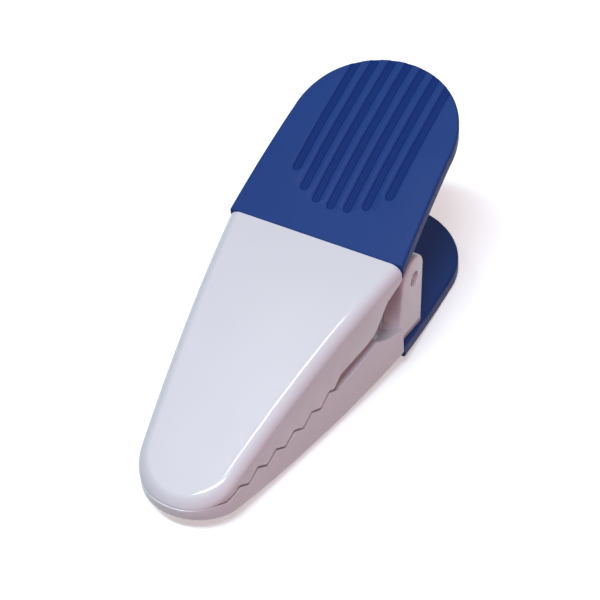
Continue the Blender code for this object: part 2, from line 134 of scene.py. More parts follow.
# ---------------------------------------------------------------- fine detail of the moulded pieces

SEAM_EDGE = 0.12                 # rounding of the jaws' edges along the teeth
SEAM_GAP = [(3.6, 0.06), (5.0, 0.95)]     # (x, gap): closed at the nose, the teeth a little apart
TOOTH_LEAD = 0.4                 # the upper teeth's lead over the lower ones towards the nose
GRIP_SEAM = 0.06                 # between a cover and its grip
TOOTH_SOFTNESS = 0.32            # half length over which each tooth's corners are rounded
COVER_REAR_EDGE = 0.25           # rounding of the cover against the grip
GRIP_FRONT_EDGE = 0.1
EAR_EDGE = 0.45
PLATE_EDGE = 0.3
GUSSET_EDGE = 0.15
BORE_FLARE = 0.12                # widening of the pin's holes at the ears' outer faces
PIN_END = [(0.35, 0.0), (0.2, 0.05), (0.08, 0.17), (0.0, 0.38)]     # (before the end, off the radius)
LEG_BEND = 0.09                  # share of a spring leg that its bend takes up

GROOVE_LIP = 0.1                 # soft lips of the grooves
GROOVE_FLOOR = 0.55              # half width of a groove's level floor
GROOVE_CURVE = 2.2               # power of the curve down a groove's side
LIP_PARTS = 3                    # the first of this many parts of a groove's side is eased
GROOVE_PAINTED_SHADE_FROM = 0.55          # share of the full depth from which a groove's faces take the darker blue of painted shade
GRIP_FACE_MARGIN = 0.05          # below the grooves' floors, where the grip's face is taken to end
FAN_MARGIN = 0.6                 # level face kept beside the outermost grooves

FILLET_STEPS = 12
ARC_STEPS = 40
SEAM_EDGE_STEPS = 4
BEVEL_SEGMENTS = 4
TURNED_SIDES = 64
SHOULDER_STEPS = 26
TONGUE_STEPS = 8
GROOVE_SIDE_STEPS = 7
GROOVE_MIDDLE = 0.2              # half width of the column pair along a groove's middle
COIL_STEPS = 48                  # per turn
LEG_STEPS = 6
LEG_BEND_STEPS = 8
WIRE_RESOLUTION = 5
REAR_EDGE_ANGLES = (20, 40, 60, 80, 90)
FRONT_EDGE_ANGLES = (0, 20, 40, 60, 75, 90)
STEP = 1.5                       # stations along the crowned faces
STATION_GAP = 0.02               # stations closer together than this become one
COARSE_ROWS = [65, 67, 68.5]     # rows across a grip ahead of the grooves
FINE_ROWS_START = 69.0           # close rows over the grooves' front ends
FINE_ROWS_END = 77.5
FINE_ROW_STEPS = 54
REAR_ROW_STEPS = 8
MERGE_DISTANCE = 1e-5
CUT_CLEARANCE = 0.1              # by which a cutter clears the face it goes through
CUT_REACH = 2
SMOOTH_ANGLE = math.radians(35)
GRIP_SMOOTH_ANGLE = math.radians(50)

TILT = math.atan(REST_SLOPE)
HINGE = Vector(frame["joints"][0]["pos_m"])
CLIP_TO_WORLD = (Matrix.Translation(HINGE) @ Matrix.Rotation(-TILT, 4, "Y")
                 @ Matrix.Diagonal((MM, MM, MM, 1)) @ Matrix.Translation((-PIVOT_X, 0, -PIVOT_Z)))


# ---------------------------------------------------------------- shape of the levers

def lerp(a, b, t):
    return a + (b - a) * t


def interpolate(points, x):
    """Value at x of a line through points, level beyond its ends."""
    if x <= points[0][0]:
        return points[0][1]
    for (x1, v1), (x2, v2) in zip(points, points[1:]):
        if x <= x2:
            return lerp(v1, v2, (x - x1) / (x2 - x1))
    return points[-1][1]


def outer_height(x, side=1):
    """Outer face over the parting plane."""
    if x <= JAW_LENGTH:
        crowned = lerp(NOSE_HEIGHT[side], JAW_HEIGHT, x / JAW_LENGTH) + CROWN * x * (JAW_LENGTH - x)
    else:
        along = (x - JAW_LENGTH) / (LENGTH - JAW_LENGTH)
        crowned = lerp(JAW_HEIGHT, GRIP_END_HEIGHT, along) + CROWN * (x - JAW_LENGTH) * (LENGTH - x)
    return min(crowned, REST_HEIGHT + REST_SLOPE * x)


def tongue_middle(x):
    return outer_height(x) - GRIP_THICKNESS - GAP - TONGUE_THICKNESS / 2


def quarter_round(distance, radius):
    """Drop of a rounded edge at this distance from its side."""
    if distance >= radius:
        return 0.0
    return radius - math.sqrt(max(0.0, radius ** 2 - (radius - distance) ** 2))


TAPER = (math.atan2(JAW_HALF_WIDTH, JAW_LENGTH - NOSE_RADIUS)
         - math.asin(NOSE_RADIUS / math.hypot(JAW_LENGTH - NOSE_RADIUS, JAW_HALF_WIDTH)))
NOSE_TANGENT = NOSE_RADIUS * (1 - math.sin(TAPER))


def jaw_half_width(x):
    return NOSE_RADIUS * math.cos(TAPER) + (x - NOSE_TANGENT) * math.tan(TAPER)


def tooth_corners():
    """Zigzag between the jaws, from the front to the last tooth."""
    points = list(FRONT_TOOTH)
    for i in range(-1, WHOLE_TEETH):
        low = FIRST_WHOLE_TOOTH + i * TOOTH_PITCH
        high = low + TOOTH_PITCH * TOOTH_RISE
        if i >= 0:
            points.append((low, interpolate(SEAM, low) - TOOTH_DEPTH / 2))
        points.append((high, interpolate(SEAM, high) + TOOTH_DEPTH / 2))
    points.append(REAR_TOOTH)
    return points


def edge_corners(side):
    """Edge of a jaw that faces the other one, as (x, h)."""
    behind = SKIRT_EDGE if side > 0 else RIM_EDGE
    teeth = [(x - side * TOOTH_LEAD / 2, side * z + interpolate(SEAM_GAP, x) / 2)
             for x, z in tooth_corners()]
    teeth.insert(0, (SEAM_GAP[0][0], side * FRONT_TOOTH[0][1] + SEAM_GAP[0][1] / 2))
    return teeth + [(x, side * z) for x, z in behind]


def soft_edge(side):
    """The same edge with rounded corners, as a function of x."""
    corners = edge_corners(side)
    samples = [i / 4 * TOOTH_SOFTNESS for i in range(-4, 5)]
    return lambda x: sum(interpolate(corners, x + s) for s in samples) / len(samples)


# ---------------------------------------------------------------- mesh building blocks

def finished(bm, name, sharp=SMOOTH_ANGLE):
    """Object from a mesh in the clip's frame, smooth but for its real edges."""
    bmesh.ops.remove_doubles(bm, verts=bm.verts, dist=MERGE_DISTANCE)
    bmesh.ops.recalc_face_normals(bm, faces=bm.faces)
    mesh = bpy.data.meshes.new(name)
    bm.to_mesh(mesh)
    bm.free()
    mesh.shade_smooth()
    mesh.set_sharp_from_angle(angle=sharp)
    piece = bpy.data.objects.new(name, mesh)
    bpy.context.scene.collection.objects.link(piece)
    return piece


def strip(bm, row, other):
    """Quads between two rows of as many vertices."""
    for i in range(len(row) - 1):
        bm.faces.new((row[i], row[i + 1], other[i + 1], other[i]))


def distinct(vertices):
    return list(dict.fromkeys(vertices))


def turned(name, profile):
    """Solid turned about the pivot's axis from (y, radius) points, with level ends."""
    bm = bmesh.new()
    rings = []
    turns = [2 * math.pi * i / TURNED_SIDES for i in range(TURNED_SIDES)]
    for y, radius in profile:
        circle = [(PIVOT_X + radius * math.cos(t), y, PIVOT_Z + radius * math.sin(t)) for t in turns]
        rings.append([bm.verts.new(place) for place in circle])
    for ring, following in zip(rings, rings[1:]):
        strip(bm, ring + ring[:1], following + following[:1])
    bm.faces.new(rings[0])
    bm.faces.new(rings[-1])
    return finished(bm, name)


def side_plate(name, outline, thickness, middle_y, edge):
    """Plate drawn from the side as (x, z), with rounded edges."""
    bm = bmesh.new()
    near, far = ([bm.verts.new((x, middle_y + way * thickness / 2, z)) for x, z in outline]
                 for way in (-1, 1))
    strip(bm, near + near[:1], far + far[:1])
    bm.faces.new(near)
    bm.faces.new(far)
    bmesh.ops.recalc_face_normals(bm, faces=bm.faces)
    sharp = [e for e in bm.edges if e.calc_face_angle() > SMOOTH_ANGLE]
    bmesh.ops.bevel(bm, geom=sharp, offset=edge, segments=BEVEL_SEGMENTS, profile=0.5,
                    affect="EDGES", clamp_overlap=True)
    return finished(bm, name)


def triangulate(mesh):
    """Split a joined mesh's faces here, as a plain split of a many-sided one can fold over itself."""
    bm = bmesh.new()
    bm.from_mesh(mesh)
    bmesh.ops.triangulate(bm, faces=bm.faces)
    bm.to_mesh(mesh)
    bm.free()


def combined(piece, additions, cuts=()):
    """piece with other solids joined to it and cut from it, as one mesh."""
    steps = [("UNION", other) for other in additions] + [("DIFFERENCE", other) for other in cuts]
    for operation, other in steps:
        modifier = piece.modifiers.new(operation, "BOOLEAN")
        modifier.operation = operation
        modifier.object = other
    mesh = bpy.data.meshes.new_from_object(
        piece.evaluated_get(bpy.context.evaluated_depsgraph_get()))
    piece.modifiers.clear()
    piece.data = mesh
    for _, other in steps:
        bpy.data.objects.remove(other)
    triangulate(mesh)
    mesh.shade_smooth()
    mesh.set_sharp_from_angle(angle=SMOOTH_ANGLE)
    return piece


def placed(piece, body, node, slot, *materials):
    """Put a finished piece in the world, on its body, in place of its CAD node."""
    piece.data.transform(CLIP_TO_WORLD)
    piece.data.materials.clear()
    for material in materials:
        piece.data.materials.append(material)
    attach(piece, body)
    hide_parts(node)


# ---------------------------------------------------------------- jaws

def jaw_stations():
    """x of the stations along a jaw's sides, from its rear to where the nose begins."""
    corners = [x for side in (1, -1) for x, _ in edge_corners(side)]
    marks = {NOSE_TANGENT, SOLID_NOSE, HOLLOW_END, JAW_LENGTH}
    marks |= {x + s * TOOTH_SOFTNESS for x in corners for s in (-1, -0.5, 0, 0.5, 1)}
    marks |= {JAW_LENGTH - COVER_REAR_EDGE * (1 - math.cos(math.radians(angle)))
              for angle in REAR_EDGE_ANGLES}
    steps = round((JAW_LENGTH - NOSE_TANGENT) / STEP)
    marks |= {lerp(NOSE_TANGENT, JAW_LENGTH, i / steps) for i in range(steps)}
    kept = []
    for x in sorted(m for m in marks if NOSE_TANGENT <= m <= JAW_LENGTH):
        if not kept or x - kept[-1] > STATION_GAP or x in (SOLID_NOSE, HOLLOW_END, JAW_LENGTH):
            kept.append(x)
    return kept[::-1]


def jaw_outline():
    """Functions that give each outline point of a jaw at an inset.

    They run from the rear +Y corner round the nose to the rear -Y corner.
    """
    def on_side(x, way):
        rear = quarter_round(JAW_LENGTH - x, COVER_REAR_EDGE)
        return lambda inset: (x, way * (jaw_half_width(x) - rear - inset / math.cos(TAPER)))

    def on_nose(turn):
        return lambda inset: (NOSE_RADIUS + (NOSE_RADIUS - inset) * math.cos(turn),
                              (NOSE_RADIUS - inset) * math.sin(turn))

    xs = jaw_stations()
    turns = [lerp(math.pi / 2 + TAPER, math.pi * 3 / 2 - TAPER, i / ARC_STEPS)
             for i in range(1, ARC_STEPS)]
    return ([on_side(x, 1) for x in xs] + [on_nose(turn) for turn in turns]
            + [on_side(x, -1) for x in reversed(xs)])


def jaw_shell(name, side):
    """Hollow toothed cover with rounded rims, closed behind by its rear wall."""
    edge = soft_edge(side)
    outline = jaw_outline()
    bm = bmesh.new()

    def vertex(point, inset, height):
        x, y = point(inset)
        return bm.verts.new((x, y, side * height(x)))

    def top(x):
        return outer_height(x, side) - quarter_round(JAW_LENGTH - x, COVER_REAR_EDGE)

    def wall_profile(point):
        """(inset, height function) levels from the top's rim down to the toothed edge."""
        x = point(0)[0]
        drop = top(x) - edge(x) - SEAM_EDGE
        rounded = min(COVER_EDGE, drop)
        levels = []
        for i in range(FILLET_STEPS + 1):
            sink = rounded * (1 - math.cos(math.pi / 2 * i / FILLET_STEPS))
            inset = quarter_round(sink, COVER_EDGE)
            levels.append((inset, lambda x, sink=sink: top(x) - sink))
        foot = quarter_round(drop, COVER_EDGE)
        rear = quarter_round(JAW_LENGTH - x, COVER_REAR_EDGE)
        for i in range(SEAM_EDGE_STEPS + 1):
            turn = math.pi / 2 * i / SEAM_EDGE_STEPS
            inset = foot + SEAM_EDGE * (1 - math.cos(turn))
            lift = SEAM_EDGE * (1 - math.sin(turn)) + rear
            levels.append((inset, lambda x, lift=lift: edge(x) + lift))
        return levels

    columns = [[vertex(point, inset, height) for inset, height in wall_profile(point)]
               for point in outline]
    rows = list(zip(*columns))
    for row, lower in zip(rows, rows[1:]):
        strip(bm, row, lower)
    count = len(outline)
    for i in range((count - 1) // 2):
        j = count - 1 - i
        bm.faces.new(distinct((rows[0][i], rows[0][i + 1], rows[0][j - 1], rows[0][j])))
    bm.faces.new(list(columns[0]) + list(reversed(columns[-1])))

    xs = [point(0)[0] for point in outline]
    seam = rows[-1]
    inner = {}
    for i, point in enumerate(outline):
        if SOLID_NOSE <= xs[i] <= HOLLOW_END:
            inner[i] = (vertex(point, WALL, edge),
                        vertex(point, WALL, lambda x: outer_height(x, side) - WALL))
    for i in range((count - 1) // 2):
        j = count - 1 - i
        if i in inner and i + 1 in inner:
            for a, b in ((i, i + 1), (j, j - 1)):
                bm.faces.new((seam[a], seam[b], inner[b][0], inner[a][0]))
                bm.faces.new((inner[a][0], inner[b][0], inner[b][1], inner[a][1]))
            bm.faces.new((inner[i][1], inner[i + 1][1], inner[j - 1][1], inner[j][1]))
        elif i in inner:
            bm.faces.new((seam[i], seam[i + 1], seam[j - 1], seam[j], inner[j][0], inner[i][0]))
        elif i + 1 in inner:
            bm.faces.new((seam[i], seam[i + 1], inner[i + 1][0], inner[j - 1][0], seam[j - 1],
                          seam[j]))
        else:
            bm.faces.new(distinct((seam[i], seam[i + 1], seam[j - 1], seam[j])))
    ends = [i for i in inner if (i - 1 not in inner or i + 1 not in inner) and i < count // 2]
    for i in ends:
        j = count - 1 - i
        bm.faces.new((inner[i][0], inner[j][0], inner[j][1], inner[i][1]))
    return finished(bm, name)


def tongue_plate(name, side):
    """Plate that runs back under the grip's root."""
    top = GRIP_THICKNESS + GAP
    start = JAW_LENGTH - WALL / 2
    xs = [lerp(start, TONGUE_END, i / TONGUE_STEPS) for i in range(TONGUE_STEPS + 1)]
    outline = [(x, side * (outer_height(x) - top)) for x in xs]
    outline += [(x, side * (outer_height(x) - top - TONGUE_THICKNESS)) for x in reversed(xs)]
    return side_plate(name, outline, 2 * TONGUE_HALF_WIDTH[side], 0, PLATE_EDGE)


def arc(centre, radius, start, end, steps):
    turns = [lerp(start, end, i / steps) for i in range(steps + 1)]
    return [(centre[0] + radius * math.cos(t), centre[1] + radius * math.sin(t)) for t in turns]


def lower_ears():
    """The two ears that carry the pin, and the gussets ahead of them."""
    feet = [(x, -tongue_middle(x)) for x in (EAR_REAR_FOOT, EAR_FRONT_FOOT)]
    ear = ([feet[0]] + arc(EAR_TOP, EAR_RADIUS, 0, math.pi, ARC_STEPS)
           + [(EAR_FRONT_FOOT, EAR_FRONT_KNEE_Z), feet[1]])
    heel = JAW_LENGTH - WALL / 2
    rim = [(EAR_GUSSET_X, RIM_EDGE[1][1])]
    rim += [point for point in RIM_EDGE if point[0] > EAR_GUSSET_X]
    gusset = [(x, z - GUSSET_DROP) for x, z in rim]
    gusset += [(GUSSET_END, RIM_EDGE[-1][1] - GUSSET_DROP)]
    gusset += [(x, -tongue_middle(x)) for x in (GUSSET_END, heel)]
    gusset += [(x, -outer_height(x, -1) + WALL / 2) for x in (heel, EAR_GUSSET_X)]
    plates = []
    ear_middle = EAR_OUTER - EAR_THICKNESS / 2
    gusset_middle = GUSSET_OUTER - GUSSET_THICKNESS / 2
    for way in (1, -1):
        plates.append(side_plate("ear", ear, EAR_THICKNESS, way * ear_middle, EAR_EDGE))
        plates.append(side_plate("gusset", gusset, GUSSET_THICKNESS, way * gusset_middle, GUSSET_EDGE))
    return plates


def upper_ears():
    """The two inner ears that turn on the pin, with the hubs that reach in from them."""
    outline = [(EAR_FRONT_FOOT, tongue_middle(EAR_FRONT_FOOT))]
    outline += arc((PIVOT_X, PIVOT_Z), INNER_EAR_RADIUS, math.pi, 2 * math.pi, ARC_STEPS)
    outline += [(INNER_EAR_REAR, tongue_middle(INNER_EAR_REAR))]
    middle = EAR_OUTER - EAR_THICKNESS - GAP - INNER_EAR_THICKNESS / 2
    hub = [(HUB_INNER, HUB_RADIUS - PLATE_EDGE), (HUB_INNER + PLATE_EDGE, HUB_RADIUS),
           (middle, HUB_RADIUS)]
    solids = []
    for way in (1, -1):
        solids.append(side_plate("inner_ear", outline, INNER_EAR_THICKNESS, way * middle, PLATE_EDGE))
        solids.append(turned("hub", [(way * y, radius) for y, radius in hub]))
    return solids


def bore():
    """Cutter for the pin's holes, with a small flare at the ears' outer faces."""
    mouth = BORE_RADIUS + BORE_FLARE + CUT_CLEARANCE
    half = [(EAR_OUTER - BORE_FLARE, BORE_RADIUS), (EAR_OUTER + CUT_CLEARANCE, mouth),
            (EAR_OUTER + CUT_REACH, mouth)]
    return turned("bore", [(-y, r) for y, r in reversed(half)] + half)


def jaws(white):
    upper = combined(jaw_shell("upper_jaw_moulding", 1),
                     [tongue_plate("tongue", 1)] + upper_ears(), [bore()])
    placed(upper, "upper_lever", "upper_jaw", "white_jaw_plastic", white)
    lower = combined(jaw_shell("lower_jaw_moulding", -1),
                     [tongue_plate("tongue", -1)] + lower_ears(), [bore()])
    placed(lower, "lower_lever", "lower_jaw", "white_jaw_plastic", white)


# ---------------------------------------------------------------- grips

FAN_SPAN = (GROOVES - 1) / 2 * GROOVE_PITCH + GROOVE_WIDTH / 2 + FAN_MARGIN     # half the grooved field
END_CENTRE = LENGTH - GRIP_END_DEPTH
GRIP_START = JAW_LENGTH + GRIP_SEAM


def groove_centres():
    return [(number - (GROOVES - 1) / 2) * GROOVE_PITCH for number in range(GROOVES)]


def groove_depth(x, y):
    """Depth of the grooves at a point of the grip's face."""
    centre = min(groove_centres(), key=lambda c: abs(c - y))
    half = GROOVE_WIDTH / 2
    front = GROOVE_FRONT + GROOVE_FAN_RADIUS - math.sqrt(GROOVE_FAN_RADIUS ** 2 - centre ** 2) + half
    away = math.hypot(min(0.0, x - front), y - centre)
    t = min(1.0, max(0.0, (half + GROOVE_LIP - away) / (half + GROOVE_LIP - GROOVE_FLOOR)))
    if t == 1:
        return GROOVE_DEPTH
    return GROOVE_DEPTH * (1 - (1 - t) ** GROOVE_CURVE) * min(1.0, t * LIP_PARTS)


def groove_columns():
    """y of the columns across the grooved field, closer together on the grooves' sides."""
    half = GROOVE_WIDTH / 2
    offsets = [0, GROOVE_MIDDLE] + [lerp(GROOVE_FLOOR, half + GROOVE_LIP, i / GROOVE_SIDE_STEPS)
                                    for i in range(GROOVE_SIDE_STEPS + 1)]
    ys = {round(c + way * offset, 5) for c in groove_centres() for offset in offsets for way in (1, -1)}
    return sorted(ys | {round(FAN_SPAN, 5), -round(FAN_SPAN, 5)}, reverse=True)


def grip_rows():
    """x of the straight rows across a grip, from its front to where its round end begins."""
    front = [GRIP_START + GRIP_FRONT_EDGE * (1 - math.cos(math.radians(angle)))
             for angle in FRONT_EDGE_ANGLES]
    fine = [lerp(FINE_ROWS_START, FINE_ROWS_END, i / FINE_ROW_STEPS) for i in range(FINE_ROW_STEPS + 1)]
    rear = [lerp(FINE_ROWS_END, END_CENTRE, i / REAR_ROW_STEPS) for i in range(1, REAR_ROW_STEPS + 1)]
    return front + COARSE_ROWS + fine + rear


def grip_outline(inset, columns):
    """Grip's outline at an inset: +Y side, shoulder, the ends of all columns, and back along -Y."""
    def side(x):
        along = (x - JAW_LENGTH) / (END_CENTRE - JAW_LENGTH)
        half = lerp(GRIP_ROOT_HALF_WIDTH, GRIP_END_HALF_WIDTH, along)
        return half - inset - quarter_round(x - GRIP_START, GRIP_FRONT_EDGE)

    depth, width = GRIP_END_DEPTH - inset, GRIP_END_HALF_WIDTH - inset
    half = [(x, side(x)) for x in grip_rows()]
    last = math.asin(columns[0] / width)
    for i in range(1, SHOULDER_STEPS):
        turn = lerp(math.pi / 2, last, i / SHOULDER_STEPS)
        half.append((END_CENTRE + depth * math.cos(turn), width * math.sin(turn)))
    ends = [(END_CENTRE + depth * math.sqrt(1 - (y / width) ** 2), y) for y in columns]
    return half, ends, [(x, -y) for x, y in reversed(half)]


def grip_body(name, side):
    """Handle plate with seven lengthwise grooves that run out over its round end."""
    columns = groove_columns()
    bm = bmesh.new()

    def face_height(x, sink):
        return outer_height(x) - sink - quarter_round(x - GRIP_START, GRIP_FRONT_EDGE)

    def vertex(x, y, sink):
        height = face_height(x, sink)
        if abs(y) < FAN_SPAN and sink < GROOVE_DEPTH:
            height = min(height, outer_height(x) - groove_depth(x, y))
        return bm.verts.new((x, y, side * height))

    levels = []
    for i in range(FILLET_STEPS + 1):
        turn = math.pi / 2 * i / FILLET_STEPS
        levels.append((GRIP_EDGE * (1 - math.sin(turn)), GRIP_EDGE * (1 - math.cos(turn))))
    levels += [(inset, GRIP_THICKNESS - sink) for inset, sink in reversed(levels)]

    rings = []
    for inset, sink in levels:
        first, ends, last = grip_outline(inset, columns)
        rings.append([vertex(x, y, sink) for x, y in first + ends + last])
    for ring, lower in zip(rings, rings[1:]):
        strip(bm, ring, lower)

    first, ends, _ = grip_outline(GRIP_EDGE, columns)
    straight = len(grip_rows())
    ring = rings[0]
    total = len(ring)
    reach = ends[0][0] - END_CENTRE
    grid = []
    for r, (x, _) in enumerate(first):
        share = 0 if r < straight else (x - END_CENTRE) / reach
        xs = [x if r < straight else lerp(END_CENTRE, end[0], share) for end in ends]
        middle = [vertex(cx, y, 0) for cx, y in zip(xs, columns)]
        grid.append([ring[r]] + middle + [ring[total - 1 - r]])
    for row, following in zip(grid, grid[1:]):
        strip(bm, row, following)
    rear = ring[len(first):len(first) + len(columns)]
    strip(bm, grid[-1][1:-1], rear)
    bm.faces.new((grid[-1][0], grid[-1][1], rear[0]))
    bm.faces.new((grid[-1][-2], grid[-1][-1], rear[-1]))

    under = rings[-1]
    for i in range((total - 1) // 2):
        j = total - 1 - i
        bm.faces.new(distinct((under[i], under[i + 1], under[j - 1], under[j])))
    left = [ring[0] for ring in rings]
    right = [ring[-1] for ring in rings]
    bm.faces.new(left + right[::-1] + grid[0][1:-1][::-1])
    body = finished(bm, name, GRIP_SMOOTH_ANGLE)
    # painted shade: faces deep in the grooves take the second material, a darker blue for the shade in
    # them
    for face in body.data.polygons:
        x, y, z = face.center
        if side * z > outer_height(x) - GROOVE_DEPTH - GRIP_FACE_MARGIN and abs(y) < FAN_SPAN:
            face.material_index = int(groove_depth(x, y) > GROOVE_PAINTED_SHADE_FROM * GROOVE_DEPTH)
    return body


def grips(blue, groove_painted_shade_blue):
    for name, side, body in (("upper_grip", 1, "upper_lever"), ("lower_grip", -1, "lower_lever")):
        grip = grip_body(name + "_moulding", side)
        # material 1 on the grips is the grooves' painted shade
        indices = [face.material_index for face in grip.data.polygons]
        placed(grip, body, name, "blue_grip_plastic", blue, groove_painted_shade_blue)
        grip.data.polygons.foreach_set("material_index", indices)


# ---------------------------------------------------------------- pin and spring

def pin(metal):
    end = EAR_OUTER - PIN_RECESS
    half = [(end - before, PIN_RADIUS - off) for before, off in PIN_END]
    rod = turned("hinge_pin", [(-y, r) for y, r in reversed(half)] + half)
    placed(rod, "lower_lever", "pivot_pin", "spring_steel", metal)


def spring_route():
    """Centre line of the wire: lower leg, coil round the pin, upper leg."""
    centre = Vector((PIVOT_X, 0, PIVOT_Z))
    half_coil = COIL_TURNS * COIL_PITCH / 2
    reach = LEG_CONTACT_X - PIVOT_X
    touch = outer_height(LEG_CONTACT_X) - GRIP_THICKNESS - GAP - WIRE_RADIUS
    slope = (outer_height(LEG_CONTACT_X + LEG_TIP) - outer_height(LEG_CONTACT_X)) / LEG_TIP
    tip = Vector((1, 0, slope)).normalized() * LEG_TIP

    def leaving(rise, way):
        return math.atan2(rise, reach) + way * math.acos(COIL_RADIUS / math.hypot(reach, rise))

    start = leaving(-touch - PIVOT_Z, -1)
    end = leaving(touch - PIVOT_Z, 1) + 2 * math.pi * (COIL_TURNS - 1)
    steps = COIL_STEPS * COIL_TURNS
    coil = []
    for i in range(steps + 1):
        turn = lerp(start, end, i / steps)
        y = lerp(-half_coil, half_coil, i / steps)
        coil.append(centre + Vector((COIL_RADIUS * math.cos(turn), y, COIL_RADIUS * math.sin(turn))))

    def leg(way):
        """From the coil outwards: straight, a small bend, and flat along the handle."""
        corner = Vector((LEG_CONTACT_X, way * half_coil, way * touch))
        coil_end = coil[-1] if way > 0 else coil[0]
        last = corner + Vector((tip.x, 0, way * tip.z))
        inward, onward = corner.lerp(coil_end, LEG_BEND), corner.lerp(last, LEG_BEND * 3)
        shares = [i / LEG_BEND_STEPS for i in range(LEG_BEND_STEPS + 1)]
        curve = [inward.lerp(corner, t).lerp(corner.lerp(onward, t), t) for t in shares]
        straight = [coil_end.lerp(inward, i / LEG_STEPS) for i in range(1, LEG_STEPS)]
        return straight + curve + [last]

    return leg(-1)[::-1] + coil + leg(1)


def spring(metal):
    """Wire along the route, one end on each lever and twisting in between."""
    curve = bpy.data.curves.new("closing_spring", "CURVE")
    curve.dimensions = "3D"
    curve.bevel_depth = WIRE_RADIUS
    curve.bevel_resolution = WIRE_RESOLUTION
    curve.use_fill_caps = True
    route = spring_route()
    spline = curve.splines.new("POLY")
    spline.points.add(len(route) - 1)
    for point, place in zip(spline.points, route):
        point.co = (*place, 1)
    wire = bpy.data.objects.new("spring_wire", curve)
    bpy.context.scene.collection.objects.link(wire)
    mesh = bpy.data.meshes.new_from_object(wire.evaluated_get(bpy.context.evaluated_depsgraph_get()))
    bpy.data.objects.remove(wire)
    bm = bmesh.new()
    bm.from_mesh(mesh)
    bpy.data.meshes.remove(mesh)
    coil = finished(bm, "closing_spring")
    coil.data.transform(CLIP_TO_WORLD)
    coil.data.materials.clear()
    coil.data.materials.append(metal)
    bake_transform(coil)
    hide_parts("torsion_spring")


# ---------------------------------------------------------------- materials

WHITE = (0.695, 0.69, 0.72)
WHITE_CLOUDED = (0.715, 0.705, 0.735)
BLUE = (0.021, 0.057, 0.218)
BLUE_CLOUDED = (0.024, 0.062, 0.23)
# painted shade: the grooves' darker blue stands in for the shade that falls in them
GROOVE_PAINTED_SHADE_BLUE = (0.0095, 0.034, 0.168)
GROOVE_PAINTED_SHADE_BLUE_CLOUDED = (0.0105, 0.037, 0.178)
STEEL = (0.42, 0.4, 0.39)
STEEL_CLOUDED = (0.54, 0.52, 0.51)
FLOOR = (0.955, 0.955, 0.95)
FLOOR_CLOUDED = (0.97, 0.97, 0.965)
NOISE_LOW, NOISE_HIGH = 0.3, 0.7     # where nearly all of a noise's values lie
WHITE_BUMP = 0.000004                # metres
FINE_BUMP = 0.000006


class Nodes:
    """Short way to write a material's node tree."""

    def __init__(self, name):
        self.material = bpy.data.materials.new(name)
        self.material.use_nodes = True
        self.tree = self.material.node_tree
        self.shader = self.tree.nodes["Principled BSDF"]
        self.place = self.add("ShaderNodeTexCoord").outputs["Object"]

    def add(self, kind, **values):
        node = self.tree.nodes.new(kind)
        for key, value in values.items():
            setattr(node, key, value)
        return node

    def link(self, source, target):
        self.tree.links.new(source, target)

    def noise(self, scale, detail, roughness=0.5):
        """Noise with features of about 1/scale metres."""
        node = self.add("ShaderNodeTexNoise")
        node.inputs["Scale"].default_value = scale
        node.inputs["Detail"].default_value = detail
        node.inputs["Roughness"].default_value = roughness
        self.link(self.place, node.inputs["Vector"])
        return node.outputs["Fac"]

    def ranged(self, noise, low, high):
        """A noise's value brought into the range from low to high."""
        node = self.add("ShaderNodeMapRange")
        for key, number in (("From Min", NOISE_LOW), ("From Max", NOISE_HIGH),
                            ("To Min", low), ("To Max", high)):
            node.inputs[key].default_value = number
        self.link(noise, node.inputs["Value"])
        return node.outputs["Result"]

    def mixed(self, factor, colour, other):
        node = self.add("ShaderNodeMix", data_type="RGBA")
        node.inputs["A"].default_value = (*colour, 1)
        node.inputs["B"].default_value = (*other, 1)
        self.link(factor, node.inputs["Factor"])
        return node.outputs["Result"]

    def bump(self, height, distance, strength):
        node = self.add("ShaderNodeBump")
        node.inputs["Distance"].default_value = distance
        node.inputs["Strength"].default_value = strength
        self.link(height, node.inputs["Height"])
        return node.outputs["Normal"]

    def set(self, **values):
        """Values of the shader's inputs, with _ for the spaces in their names."""
        for key, value in values.items():
            self.shader.inputs[key.replace("_", " ")].default_value = value


def white_plastic():
    m = Nodes("white_gloss_plastic")
    tone = m.mixed(m.ranged(m.noise(60, 4), 0, 1), WHITE, WHITE_CLOUDED)
    m.link(tone, m.shader.inputs["Base Color"])
    m.link(m.ranged(m.noise(220, 5), 0.42, 0.5), m.shader.inputs["Roughness"])
    m.link(m.bump(m.noise(3500, 2), WHITE_BUMP, 0.5), m.shader.inputs["Normal"])
    m.set(IOR=1.5, Specular_IOR_Level=0.4, Coat_Weight=0.6, Coat_Roughness=0.04)
    return m.material


def blue_plastic(name, colour, other, rough):
    m = Nodes(name)
    tone = m.mixed(m.ranged(m.noise(80, 4), 0, 1), colour, other)
    m.link(tone, m.shader.inputs["Base Color"])
    m.link(m.ranged(m.noise(400, 5), rough - 0.03, rough + 0.04), m.shader.inputs["Roughness"])
    m.link(m.bump(m.noise(2600, 3, 0.6), FINE_BUMP, 0.6), m.shader.inputs["Normal"])
    m.set(IOR=1.1)
    return m.material


def drawn_steel():
    m = Nodes("drawn_steel")
    tone = m.mixed(m.ranged(m.noise(900, 4), 0, 1), STEEL, STEEL_CLOUDED)
    m.link(tone, m.shader.inputs["Base Color"])
    m.link(m.ranged(m.noise(1800, 4), 0.24, 0.4), m.shader.inputs["Roughness"])
    m.link(m.bump(m.noise(6000, 2), FINE_BUMP, 0.6), m.shader.inputs["Normal"])
    m.set(Metallic=1.0)
    return m.material


def floor_material():
    m = Nodes("pale_floor")
    tone = m.mixed(m.ranged(m.noise(8, 3), 0, 1), FLOOR, FLOOR_CLOUDED)
    m.link(tone, m.shader.inputs["Base Color"])
    m.set(Roughness=0.9, Specular_IOR_Level=0.1, Emission_Color=(1, 1, 1, 1), Emission_Strength=0.4)
    return m.material


# ---------------------------------------------------------------- stage

